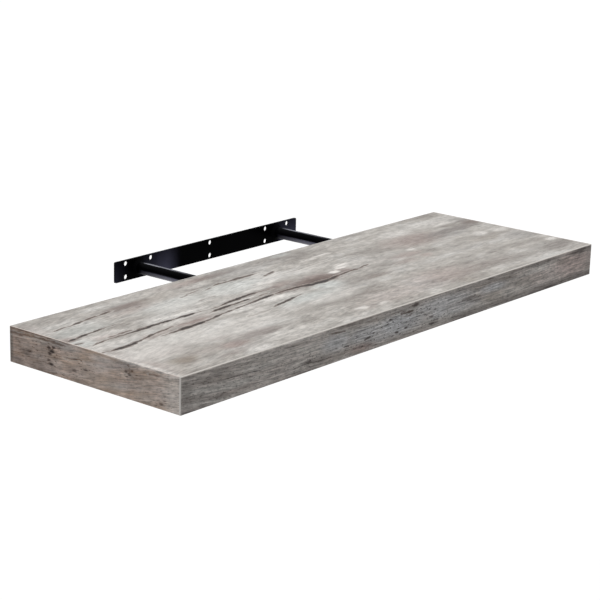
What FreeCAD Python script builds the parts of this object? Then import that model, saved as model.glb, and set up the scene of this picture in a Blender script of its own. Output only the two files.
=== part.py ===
# Floating wall shelf on a hidden two-rod steel bracket.
# Millimetres. The origin is the centre of the wall plate's back face, which lies on the wall.
# +X runs along the shelf to the right, +Y points into the wall and +Z up.
# The shelf is drawn part of the way out on its rods and slides along Y.
import FreeCAD, Part
import math
import os

# Shelf body
shelf_length = 610.0
shelf_depth = 200.0
shelf_shift = -56.5           # shelf's middle, measured along X from the bracket's middle
laminate_thickness = 0.6
skin_thickness = 3.0
front_band_thickness = 2.0
end_band_thickness = 1.0
front_band_radius = 1.0       # trimmed edge of the front band
end_band_radius = 0.6

# Inner frame and core
front_rail_width = 25.0
back_rail_width = 35.0
end_rail_width = 25.0
guide_block_width = 45.0
core_cell_side = 14.0         # side of one six-sided paper cell
core_wall = 0.8               # two glued plies
staple_crown = 12.0
staple_leg = 10.0
staple_wire = 1.2

# Bracket
rod_spacing = 208.0
rod_diameter = 12.0
rod_chamfer = 1.2
rod_tip_cover = 47.5          # shelf left in front of the rod tips when it is pushed home
rod_engagement = 48.5         # rod length inside the shelf as drawn
spigot_diameter = 8.0         # turned end of the rod that passes through the plate
weld_leg = 2.5
weld_throat = 0.4             # middle of the bead, as a share of its leg
plate_thickness = 2.0
plate_corner_radius = 1.5
plate_end_margin = 15.0       # last screw hole to the plate's end
screw_hole_diameter = 5.0
screw_hole_ease = 0.3         # broken edge round each hole
screw_to_rod = 17.5
screw_row_spacing = 13.5
screw_row_margin = 3.75       # screw row to the plate's long edge

# Clearances
rod_clearance = 0.08          # radial, a running fit
rod_end_clearance = 4.0
spigot_clearance = 0.03
plate_clearance = 1.9         # above and below the plate in its recess
plate_end_clearance = 2.0
recess_clearance = 1.0        # recess floor to the plate's front face
weld_clearance = 0.5
core_clearance = 0.5          # paper core to the rails around it
glue_gap = 0.1                # between neighbouring paper strips
drill_point_angle = 118.0
cell_turn = math.radians(60)  # turn of a six-sided cell's wall at each fold

# Bracket sizes that follow
rod_radius = rod_diameter / 2
rod_x = rod_spacing / 2
rod_places = (-rod_x, rod_x)
inner_screw_x = rod_x - screw_to_rod
outer_screw_x = rod_x + screw_to_rod
screw_columns = (-outer_screw_x, -inner_screw_x, 0.0, inner_screw_x, outer_screw_x)
screw_rows = (-screw_row_spacing / 2, screw_row_spacing / 2)
plate_half_length = outer_screw_x + plate_end_margin
plate_half_height = screw_row_spacing / 2 + screw_row_margin
plate_front = -plate_thickness
rod_tip = rod_tip_cover - shelf_depth
bore_radius = rod_radius + rod_clearance

# Heights of the layers, from the middle of the shelf outwards
frame_top = plate_half_height + plate_clearance
skin_top = frame_top + skin_thickness
shelf_top = skin_top + laminate_thickness

# Shelf places along Y: the rods reach into it by their engagement
shelf_back = rod_tip + rod_engagement
shelf_front = shelf_back - shelf_depth
band_back = shelf_front + front_band_thickness
front_rail_back = band_back + front_rail_width
back_rail_front = shelf_back - back_rail_width
bore_depth = shelf_depth - rod_tip_cover + rod_end_clearance
recess_depth = plate_thickness + recess_clearance

# Shelf places along X
shelf_left = shelf_shift - shelf_length / 2
shelf_right = shelf_shift + shelf_length / 2
board_left = shelf_left + end_band_thickness
board_right = shelf_right - end_band_thickness
end_rail_inner_left = board_left + end_rail_width
end_rail_inner_right = board_right - end_rail_width
guide_half_width = guide_block_width / 2
slope_share = math.cos(cell_turn) / (1 + math.cos(cell_turn))   # sloping part of each step of a paper strip


def span_box(x_span, y_span, z_span):
    """A block between two limits along each axis."""
    low = [min(span) for span in (x_span, y_span, z_span)]
    size = [max(span) - min(span) for span in (x_span, y_span, z_span)]
    return Part.makeBox(*size, FreeCAD.Vector(*low))


def prism(outline, z_span):
    """A closed outline in X and Y, raised between two heights."""
    low, high = z_span
    points = [FreeCAD.Vector(x, y, low) for x, y in outline]
    face = Part.Face(Part.makePolygon(points + points[:1]))
    return face.extrude(FreeCAD.Vector(0, 0, high - low))


def turned(edges, x):
    """A profile of edges, drawn at radius X and place Y, turned about the rod axis at x."""
    solid = Part.Face(Part.Wire(edges)).revolve(FreeCAD.Vector(0, 0, 0), FreeCAD.Vector(0, 1, 0), 360)
    solid.translate(FreeCAD.Vector(x, 0, 0))
    return solid


def along_y(edge):
    """True for an edge that runs along the rods' way."""
    way = edge.tangentAt(edge.FirstParameter)
    return abs(way.y) > max(abs(way.x), abs(way.z))


def profile(points):
    """Straight edges through (radius, y) points, closed on themselves."""
    corners = [FreeCAD.Vector(radius, y, 0) for radius, y in points]
    pairs = zip(corners, corners[1:] + corners[:1])
    return [Part.LineSegment(start, end).toShape() for start, end in pairs]


def hole_cutter(x, z):
    """A screw hole through the plate, with its front edge broken."""
    radius = screw_hole_diameter / 2
    wall_way = FreeCAD.Vector(0, 1, 0)
    front = FreeCAD.Vector(x, plate_front, z)
    hole = Part.makeCylinder(radius, plate_thickness, front, wall_way)
    ease = Part.makeCone(radius + screw_hole_ease, radius, screw_hole_ease, front, wall_way)
    return hole.fuse(ease)


def spigot_hole(x):
    radius = spigot_diameter / 2 + spigot_clearance
    front = FreeCAD.Vector(x, plate_front, 0)
    return Part.makeCylinder(radius, plate_thickness, front, FreeCAD.Vector(0, 1, 0))


def make_wall_plate():
    plate = span_box(
        (-plate_half_length, plate_half_length),
        (plate_front, 0),
        (-plate_half_height, plate_half_height))
    plate = plate.makeFillet(plate_corner_radius, [edge for edge in plate.Edges if along_y(edge)])
    screw_holes = [hole_cutter(x, z) for x in screw_columns for z in screw_rows]
    return plate.cut(screw_holes + [spigot_hole(x) for x in rod_places])


def make_rod(x):
    """Round bar with a chamfered tip, shouldered against the plate."""
    spigot_radius = spigot_diameter / 2
    return turned(profile([
        (0, 0),
        (spigot_radius, 0),
        (spigot_radius, plate_front),
        (rod_radius, plate_front),
        (rod_radius, rod_tip + rod_chamfer),
        (rod_radius - rod_chamfer, rod_tip),
        (0, rod_tip),
    ]), x)


def make_weld(x):
    """Hollow fillet bead between the rod and the plate."""
    root = FreeCAD.Vector(rod_radius, plate_front, 0)
    on_plate = FreeCAD.Vector(rod_radius + weld_leg, plate_front, 0)
    on_rod = FreeCAD.Vector(rod_radius, plate_front - weld_leg, 0)
    throat_out = weld_leg * weld_throat
    throat = FreeCAD.Vector(rod_radius + throat_out, plate_front - throat_out, 0)
    return turned([
        Part.LineSegment(root, on_plate).toShape(),
        Part.Arc(on_plate, throat, on_rod).toShape(),
        Part.LineSegment(on_rod, root).toShape(),
    ], x)


def bore_cutter(x):
    """Blind rod bore in the shelf, opened at its mouth for the weld bead."""
    mouth_radius = rod_radius + weld_leg + weld_clearance
    mouth_end = plate_thickness + mouth_radius - bore_radius
    point_angle = math.radians(drill_point_angle / 2)
    point_depth = bore_depth + bore_radius / math.tan(point_angle)
    return turned(profile([
        (0, shelf_back),
        (mouth_radius, shelf_back),
        (mouth_radius, shelf_back - plate_thickness),
        (bore_radius, shelf_back - mouth_end),
        (bore_radius, shelf_back - bore_depth),
        (0, shelf_back - point_depth),
    ]), x)


def plate_recess():
    """Room in the shelf's back for the plate, over the frame's full height."""
    half_length = plate_half_length + plate_end_clearance
    return span_box(
        (-half_length, half_length),
        (shelf_back - recess_depth, shelf_back),
        (-frame_top, frame_top))


def staple(x, joint_y, side):
    """One staple across a joint, its crown flush with the frame's upper (1) or lower (-1) face."""
    outside = span_box(
        (x - staple_wire / 2, x + staple_wire / 2),
        (joint_y - staple_crown / 2, joint_y + staple_crown / 2),
        (side * frame_top, side * (frame_top - staple_leg)))
    between_legs = span_box(
        (x - staple_wire / 2, x + staple_wire / 2),
        (joint_y - staple_crown / 2 + staple_wire, joint_y + staple_crown / 2 - staple_wire),
        (side * (frame_top - staple_wire), side * (frame_top - staple_leg)))
    return outside.cut(between_legs)


def make_staples():
    """One staple at each frame corner, and one each side of the bore at each guide block's ends."""
    wood_middle = (bore_radius + guide_half_width) / 2
    columns = [board_left + end_rail_width / 2, board_right - end_rail_width / 2]
    columns += [x + side * wood_middle for x in rod_places for side in (-1, 1)]
    joints = (front_rail_back, back_rail_front)
    return [staple(x, y, side) for x in columns for y in joints for side in (-1, 1)]


def board(z_span):
    """A sheet as large as the shelf inside its edge bands."""
    return span_box((board_left, board_right), (band_back, shelf_back), z_span)


def make_front_band():
    band = span_box((shelf_left, shelf_right), (shelf_front, band_back), (-shelf_top, shelf_top))
    front_face = min(band.Faces, key=lambda face: face.CenterOfMass.y)
    return band.makeFillet(front_band_radius, front_face.Edges)


def make_end_band(outer_x, inner_x):
    band = span_box((outer_x, inner_x), (band_back, shelf_back), (-shelf_top, shelf_top))
    outer_face = max(band.Faces, key=lambda face: abs(face.CenterOfMass.x - inner_x))
    return band.makeFillet(end_band_radius, [edge for edge in outer_face.Edges if along_y(edge)])


def make_front_rail(staples):
    rail = span_box((board_left, board_right), (band_back, front_rail_back), (-frame_top, frame_top))
    return rail.cut(staples)


def make_back_rail(staples):
    rail = span_box((board_left, board_right), (back_rail_front, shelf_back), (-frame_top, frame_top))
    return rail.cut([plate_recess()] + [bore_cutter(x) for x in rod_places] + staples)


def make_end_rail(outer_x, inner_x, staples):
    rail = span_box((outer_x, inner_x), (front_rail_back, back_rail_front), (-frame_top, frame_top))
    return rail.cut(staples)


def make_guide_block(x, staples):
    """Cross block that carries one rod."""
    block = span_box(
        (x - guide_half_width, x + guide_half_width),
        (front_rail_back, back_rail_front),
        (-frame_top, frame_top))
    return block.cut([bore_cutter(x)] + staples)


def core_strip(x_start, y_middle, steps, step, swing, first_side):
    """One folded paper strip: flats joined by slopes, to alternate sides of its middle line."""
    flat = step * (1 - slope_share)
    slope_angle = math.atan2(swing, step - flat)
    mitre = math.tan(slope_angle / 2) * core_wall / 2
    upper, lower = [], []
    for number in range(steps):
        side = first_side * (-1) ** number
        level = y_middle + side * swing / 2
        start = x_start + number * step
        start_mitre = -side * mitre if number > 0 else 0
        end_mitre = side * mitre if number < steps - 1 else 0
        for x, shift in ((start, start_mitre), (start + flat, end_mitre)):
            upper.append((x + shift, level + core_wall / 2))
            lower.append((x - shift, level - core_wall / 2))
    return prism(upper + lower[::-1], (-frame_top, frame_top))


def make_core(x_left, x_right):
    """Paper honeycomb that fills one bay of the frame, as strips side by side."""
    length = x_right - x_left - 2 * core_clearance
    depth = back_rail_front - front_rail_back - 2 * core_clearance
    steps = max(2, round(length / (core_cell_side * (1 + math.cos(cell_turn)))))
    step = length / (steps - slope_share)
    swing = core_cell_side * math.sin(cell_turn)
    pitch = swing + core_wall + glue_gap
    strips = max(1, math.floor((depth + glue_gap) / pitch))
    first_y = (front_rail_back + back_rail_front - (strips - 1) * pitch) / 2
    return Part.makeCompound([
        core_strip(x_left + core_clearance, first_y + number * pitch, steps, step, swing, (-1) ** number)
        for number in range(strips)
    ])


def make_parts():
    staples = make_staples()
    return {
        "wall_plate": make_wall_plate(),
        "left_rod": make_rod(-rod_x),
        "right_rod": make_rod(rod_x),
        "left_weld": make_weld(-rod_x),
        "right_weld": make_weld(rod_x),
        "top_laminate": board((skin_top, shelf_top)),
        "bottom_laminate": board((-shelf_top, -skin_top)),
        "front_edge_band": make_front_band(),
        "left_edge_band": make_end_band(shelf_left, board_left),
        "right_edge_band": make_end_band(shelf_right, board_right),
        "top_skin": board((frame_top, skin_top)),
        "bottom_skin": board((-skin_top, -frame_top)),
        "front_rail": make_front_rail(staples),
        "back_rail": make_back_rail(staples),
        "left_end_rail": make_end_rail(board_left, end_rail_inner_left, staples),
        "right_end_rail": make_end_rail(board_right, end_rail_inner_right, staples),
        "left_guide_block": make_guide_block(-rod_x, staples),
        "right_guide_block": make_guide_block(rod_x, staples),
        "left_core": make_core(end_rail_inner_left, -rod_x - guide_half_width),
        "centre_core": make_core(-rod_x + guide_half_width, rod_x - guide_half_width),
        "right_core": make_core(rod_x + guide_half_width, end_rail_inner_right),
        "frame_staples": Part.makeCompound(staples),
    }


os.makedirs("parts", exist_ok=True)
for node, shape in make_parts().items():
    shape.exportStep(f"parts/{node}.step")
    print(f"{node}: {len(shape.Solids)} solid(s), {shape.Volume / 1000:.2f} cm3")
print(f"shelf {shelf_length:.0f} x {shelf_depth:.0f} x {2 * shelf_top:.1f}, back at y {shelf_back:.1f}")
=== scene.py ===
import bpy
import math
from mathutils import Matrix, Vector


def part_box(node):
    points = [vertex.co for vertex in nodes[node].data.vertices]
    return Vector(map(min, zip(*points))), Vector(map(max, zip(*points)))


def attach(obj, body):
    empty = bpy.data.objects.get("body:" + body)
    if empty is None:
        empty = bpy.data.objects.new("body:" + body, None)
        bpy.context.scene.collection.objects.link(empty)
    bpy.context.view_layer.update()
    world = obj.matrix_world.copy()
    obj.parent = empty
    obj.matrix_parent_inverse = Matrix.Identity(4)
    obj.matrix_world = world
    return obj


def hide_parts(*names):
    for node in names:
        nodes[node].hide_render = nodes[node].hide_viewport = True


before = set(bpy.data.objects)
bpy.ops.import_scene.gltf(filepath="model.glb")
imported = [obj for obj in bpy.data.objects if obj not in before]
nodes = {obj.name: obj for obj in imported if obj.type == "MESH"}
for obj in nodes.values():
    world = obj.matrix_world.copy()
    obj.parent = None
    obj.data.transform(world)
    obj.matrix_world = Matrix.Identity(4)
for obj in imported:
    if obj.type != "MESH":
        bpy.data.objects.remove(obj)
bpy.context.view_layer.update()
mm = 0.001      # one millimetre in Blender's metres
print("frame loaded:", len(nodes), "nodes")


# The standard curve from an sRGB hex code to linear red, green and blue.
def linearColour(hexCode):
    parts = [int(hexCode[i:i + 2], 16) / 255 for i in (1, 3, 5)]
    return [c / 12.92 if c <= 0.04045 else ((c + 0.055) / 1.055) ** 2.4 for c in parts] + [1.0]


# Adds a node, sets it up and feeds its sockets. A socket takes a number, a hex colour, a node or an output.
def addNode(tree, kind, inputs, **settings):
    node = tree.nodes.new("ShaderNode" + kind)
    for name, value in settings.items():
        setattr(node, name, value)
    for key, value in inputs.items():
        named = [s for s in node.inputs if s.enabled and s.name == key]
        socket = named[0] if named else node.inputs[key]
        if isinstance(value, bpy.types.Node):
            value = next(s for s in value.outputs if s.enabled)
        if isinstance(value, bpy.types.NodeSocket):
            tree.links.new(value, socket)
        else:
            socket.default_value = linearColour(value) if isinstance(value, str) else value
    return node


def newTree(name):
    material = bpy.data.materials.new(name)
    material.use_nodes = True
    material.node_tree.nodes.clear()
    return material, material.node_tree


eased = {"interpolation_type": "SMOOTHSTEP"}    # for a Map Range with soft ends


# Bends a Float Curve node's line through the given points, both ways from 0 to 1.
def bendCurve(node, points):
    curve = node.mapping.curves[0]
    node.mapping.extend = "HORIZONTAL"
    while len(curve.points) < len(points):
        curve.points.new(0.5, 0.5)
    for point, (x, y) in zip(curve.points, points):
        point.location = (x, y)
        point.handle_type = "AUTO_CLAMPED"
    node.mapping.update()


def dress(material, *names):
    for name in names:
        nodes[name].material_slots[0].material = material


# The shelf's outer box in millimetres, for the places of the printed figure.
bandLow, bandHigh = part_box("front_edge_band")
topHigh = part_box("top_laminate")[1]
shelf = {
    "length": (bandHigh.x - bandLow.x) / mm,
    "depth": (topHigh.y - bandLow.y) / mm,
    "height": (bandHigh.z - bandLow.z) / mm,
    "corner": (bandLow.x / mm, topHigh.y / mm, topHigh.z / mm),     # upper back corner at the left end
}

# The printed paper's inks.
inks = {
    "pale": "#e4e0db",
    "frost": "#cfd3d0",
    "haze": "#d6d6d8",
    "blush": "#d3c5c0",
    "rosy": "#a89791",
    "umber": "#6f605a",
    "slate": "#857f7b",
    "tan": "#908477",
    "knot": "#3d332f",
    "fleck": "#f2ede8",
    "crack": "#190e0a",
    "halo": "#6b564a",
}

# Weathered oak on top. Places are millimetres from the left end and from the back edge.
# Grain layers are (length, width, detail) of their noise, and depth is how strongly each one shades.
# A crack is its darkness and its points (along, across, half width).
# A patch is (along, across, half length, half width, strength).
topFigure = {
    "seed": 3.0,
    "axes": ("X", "Y"),
    "size": (shelf["length"], shelf["depth"]),
    "face": ("Z", 0.0),         # across the sheet, and where its printed face lies
    "cutEdge": "#5b4a3d",
    "ground": ("#9a948e", "#b6b1ab", "#cbc8c4"),     # dark, middle and light, by the broad figure
    "flow": [(0, -28), (110, -15), (220, -6), (330, -1), (450, 0), (610, 0)],     # the grain's bend
    "drift": 14,                # how far it swerves off that bend
    "grain": {"broad": (80, 24, 4), "streak": (26, 4.8, 4), "fine": (8, 2.2, 4), "mottle": (12, 8, 4),
              "pore": (11, 1.6, 2)},
    "depth": {"streak": 0.42, "fine": 0.62, "mottle": 0.45},
    "pores": 0.2,
    "poreInk": "#3d332f",
    "tear": 14,                 # how far streaks tear a patch's outline
    "cracks": [
        (0.75, [
            (14, 40, 0.4), (26, 37.3, 0.9), (38, 36.5, 0.8), (48, 35, 1.5), (57, 33.5, 0.7), (67, 31.5, 0.9),
            (74, 31, 0.6), (82, 30.5, 1.2), (92, 29, 0.7)]),
        (1, [
            (0, 69, 0.8), (5, 68.3, 0.7), (10, 67.5, 1.6), (16, 66.8, 0.8), (25, 65, 1.6), (34, 63.8, 0.7),
            (45, 62.3, 1.2), (52, 61.5, 0.5), (72, 60, 0.35)]),
        (1, [
            (10, 91.5, 0.4), (22, 88.5, 0.8), (34, 87.5, 0.7), (50, 87, 0.9), (62, 87, 1.1), (70, 86.6, 1.6),
            (78, 86, 1.9), (90, 85.2, 1.4), (104, 85, 1.6), (113, 85, 0.9), (126, 85, 1.7), (138, 84.6, 1.3),
            (146, 85, 0.7), (158, 86, 0.7), (172, 86, 0.5)]),
        (1, [
            (166, 86.5, 0.4), (178, 84, 0.8), (190, 82, 1.5), (198, 81, 1.7), (212, 79.5, 1.3),
            (222, 78.5, 1.3), (230, 78.6, 0.6), (247, 80.5, 0.5)]),
        (0.5, [(36, 84, 0.6), (46, 83, 1.2), (62, 81.8, 1.2)]),
        (0.95, [
            (148, 94.5, 0.4), (158, 92.5, 0.8), (168, 91.3, 1.6), (176, 90.8, 1.5), (186, 90, 0.9),
            (198, 89, 1.1), (208, 88, 0.6)]),
        (0.45, [(220, 88.3, 0.6), (232, 86.8, 0.9)]),
        (1.1, [
            (0, 111.5, 0.6), (5, 110.5, 0.7), (12, 112, 0.7), (19, 112, 1.6), (28, 112, 1.9),
            (38, 110.5, 1.9), (44, 109, 1.1), (51, 107.8, 0.8), (58, 106.3, 0.6), (63, 104.8, 1.2),
            (70, 103.3, 0.9), (84, 101.3, 0.8), (98, 99, 0.6)]),
        (1.1, [
            (70, 112.5, 0.5), (82, 111.5, 0.7), (92, 111, 1), (99, 110.3, 1.8), (106, 110, 1.9),
            (113, 109.6, 1.4), (119, 109.3, 1.5), (126, 108.3, 1), (140, 107, 0.9), (148, 104.8, 1.1),
            (158, 103.5, 0.8), (176, 101, 0.8), (192, 99, 0.9), (208, 97, 1), (220, 95.3, 1.2),
            (228, 94.2, 1.4), (236, 94, 0.6)]),
        (1.2, [
            (230, 94.5, 0.6), (244, 93.3, 0.9), (258, 93, 1.1), (270, 93.6, 1.3), (277, 95, 1.5),
            (283, 96, 2.3), (289, 96.7, 1.5), (295, 97, 2.2), (301, 97.2, 2.6), (308, 96.9, 2),
            (314, 96.4, 1.5), (323, 95, 1.5), (332, 93.6, 1.1), (344, 92, 1.1), (350, 91.8, 0.8),
            (358, 91, 1.2), (364, 91, 0.7), (372, 89.5, 1), (383, 88, 0.5)]),
        (0.85, [
            (203, 121.5, 0.4), (212, 119.3, 0.9), (222, 117.5, 1.5), (232, 115.3, 1.4), (242, 113.5, 0.9),
            (256, 111, 0.5)]),
        (0.35, [(165, 125.5, 1.4), (180, 125, 1.8), (196, 124, 1)]),
        (0.5, [(167, 42.5, 0.6), (174, 40.8, 1.2), (184, 38, 0.8), (198, 36, 0.7)]),
        (0.75, [
            (200, 40.5, 0.5), (206, 39.5, 0.9), (216, 36.5, 0.7), (226, 34.5, 1.1), (236, 35, 1.1),
            (246, 34.5, 1.7), (256, 34.3, 1.9), (268, 34.8, 1.7), (276, 34.3, 1), (285, 34, 0.5)]),
        (0.75, [(276, 46, 0.6), (283, 44.3, 1.3), (289, 43, 1.4), (297, 41, 0.6)]),
        (0.4, [(170, 61.5, 0.7), (182, 60, 1.1), (193, 60.3, 0.8)]),
        (0.3, [(285, 53.5, 1), (302, 53, 1.4), (322, 52.5, 1), (345, 51, 1.2), (368, 50, 1.4)]),
        (0.6, [(3, 79, 0.9), (8, 79.8, 1.5), (12, 79, 0.6)]),
    ],
    "patches": {
        "rosy": [
            (3, 66, 9, 9, 0.6), (30, 80, 18, 6, 0.5), (120, 102, 23, 5, 0.9), (125, 96, 26, 6, 0.4),
            (112, 40, 34, 8, 0.4), (346, 84, 12, 6, 0.5), (75, 106, 18, 5, 0.4), (60, 107, 9, 8, 0.5),
            (135, 163, 24, 9, 0.4), (96, 171, 19, 8, 0.75), (6, 152, 12, 44, 0.35), (32, 143, 28, 12, 0.45),
            (100, 150, 14, 5, 0.3), (70, 166, 44, 7, 0.2), (262, 76, 20, 7, 0.5), (492, 60, 44, 20, 0.6),
            (500, 62, 20, 8, 0.2), (437, 92, 26, 7, 0.6), (452, 106, 10, 5, 0.6), (308, 80, 20, 5, 0.5),
            (420, 106, 18, 7, 0.4), (5, 28, 9, 20, 0.25), (396, 163, 50, 20, 0.5), (212, 11, 44, 6, 0.6),
            (320, 172, 60, 16, 0.35), (270, 181, 22, 6, 0.3)],
        "umber": [
            (120, 101, 20, 4, 0.3), (116, 27, 34, 7, 0.8), (97, 29, 12, 5, 0.6), (119, 26, 9, 5, 0.5),
            (300, 90, 42, 11, 1), (262, 93.5, 22, 5, 0.95), (66, 31, 9, 3.5, 0.35), (191, 32, 13, 3, 0.35),
            (194, 37, 14, 3, 0.2), (252, 80, 16, 7, 0.35), (300, 82, 28, 6, 0.3), (306, 91, 40, 8, 0.85),
            (282, 93, 34, 6, 0.9), (256, 92, 26, 6, 0.7), (342, 90, 24, 4, 0.7), (316, 86, 26, 6, 0.7),
            (302, 93.5, 40, 3.5, 1.2), (290, 84, 36, 9, 0.25), (244, 78, 18, 3, 0.4),
            (138, 165, 28, 8, 0.25), (100, 174, 18, 7, 0.2), (33, 179, 12, 6, 0.3), (505, 62, 38, 14, 0.3),
            (560, 60, 30, 5, 0.4), (455, 56, 26, 9, 0.2), (240, 12, 30, 4, 0.6), (358, 120, 22, 4, 0.5),
            (385, 178, 40, 12, 0.3), (478, 170, 44, 12, 0.3), (600, 56, 12, 8, 0.7), (300, 152, 40, 8, 0.15),
            (108, 110, 24, 3.5, 0.6), (82, 186, 26, 6, 0.45), (7, 67, 11, 5, 0.4)],
        "tan": [
            (148, 24, 24, 16, 0.35), (35, 170, 15, 8, 0.75), (26, 179, 14, 10, 0.25), (405, 190, 12, 8, 0.3),
            (570, 106, 36, 6, 0.35)],
        "slate": [
            (176, 101, 28, 3.5, 0.5), (290, 12, 24, 10, 0.5), (262, 27, 30, 8, 0.4), (22, 14, 34, 10, 0.25),
            (134, 166, 34, 8, 0.5), (122, 178, 14, 8, 0.45), (330, 14, 52, 14, 0.45), (372, 12, 14, 6, 0.4),
            (318, 120, 20, 14, 0.4), (424, 68, 30, 7, 0.3), (555, 63, 46, 8, 0.9), (597, 42, 14, 8, 0.7),
            (540, 62, 9, 4, 0.5), (592, 124, 22, 14, 0.6), (535, 73, 34, 5, 0.7), (512, 119, 22, 5, 0.45),
            (540, 17, 20, 4, 0.35), (483, 150, 14, 7, 0.35), (578, 176, 36, 16, 0.6),
            (507, 146, 9, 2.5, 0.5), (468, 152, 14, 4, 0.55), (472, 95, 10, 2.5, 0.5),
            (498, 104, 20, 3, 0.4), (365, 168, 18, 3, 0.5), (272, 138, 10, 4, 0.4), (455, 5, 28, 4, 0.5),
            (240, 28, 30, 8, 0.3), (235, 148, 14, 4, 0.3), (262, 12, 36, 12, 0.6), (396, 78, 40, 34, 0.25),
            (520, 178, 40, 8, 0.3), (585, 104, 26, 6, 0.3)],
        "frost": [
            (30, 52, 34, 12, 0.4), (150, 52, 42, 14, 0.55), (222, 52, 38, 16, 0.7), (212, 62, 16, 7, 0.6),
            (9, 80, 12, 9, 0.6), (295, 108, 18, 12, 0.6), (250, 122, 42, 12, 0.55), (345, 5, 16, 5, 0.4)],
        "pale": [
            (4, 38, 9, 16, 0.2), (1.5, 146, 4, 50, 0.65), (202, 85.5, 20, 2.2, 0.7), (150, 30, 24, 10, 0.2),
            (122, 78, 32, 4, 0.8), (206, 102.5, 34, 3.5, 0.6), (263, 64, 18, 4, 0.5), (8, 99, 9, 3, 0.8),
            (30, 97, 30, 7, 0.5), (104, 92, 18, 5, 0.5), (85, 128, 60, 14, 0.6), (145, 136, 58, 18, 0.55),
            (176, 106, 22, 6, 0.9), (182, 118, 18, 5, 0.6), (228, 103, 28, 6, 0.9), (258, 62, 22, 5, 0.9),
            (235, 71, 24, 4, 0.7), (284, 49, 16, 6, 0.6), (325, 60, 28, 8, 0.5), (495, 33, 28, 9, 0.5),
            (432, 27, 18, 4, 0.4), (555, 28, 28, 10, 0.35), (573, 40, 24, 3.5, 0.6), (565, 92, 11, 7, 0.8),
            (596, 96, 16, 7, 0.5), (600, 156, 8, 5, 0.9), (255, 179, 8, 4, 0.7), (280, 182, 12, 5, 0.4),
            (105, 191, 14, 8, 0.5), (380, 78, 24, 14, 0.3), (4, 100, 12, 6, 0.7), (45, 120, 40, 6, 0.5),
            (28, 138, 40, 16, 0.7), (205, 104, 20, 6, 0.5), (268, 137, 34, 11, 0.5), (150, 56, 34, 12, 0.45),
            (214, 56, 36, 14, 0.35), (204, 24, 20, 6, 0.5), (190, 99, 12, 3, 0.5), (150, 182, 40, 12, 0.35),
            (40, 76, 40, 5, 0.4), (88, 136, 50, 14, 0.55), (30, 150, 30, 10, 0.3)],
        "calm": [
            (80, 140, 110, 40, 0.7), (230, 135, 90, 24, 0.6), (150, 55, 70, 16, 0.6), (300, 62, 60, 12, 0.4),
            (120, 28, 50, 12, 0.5), (320, 120, 50, 20, 0.4), (440, 30, 40, 12, 0.4),
            (520, 100, 130, 110, 0.6)],
        "fleck": [
            (334, 82.5, 7.5, 3, 1.1), (351, 77, 9, 3, 1), (360, 71, 11, 4, 1), (256, 178, 10, 2.6, 0.5),
            (282, 181, 9, 2.4, 0.45), (330, 174, 8, 2, 0.3), (350, 36.5, 14, 2.2, 0.6),
            (376, 33.5, 14, 2.6, 0.7), (458, 83, 7, 2.4, 0.6), (170, 67, 12, 1.4, 0.6)],
    },
}

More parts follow.
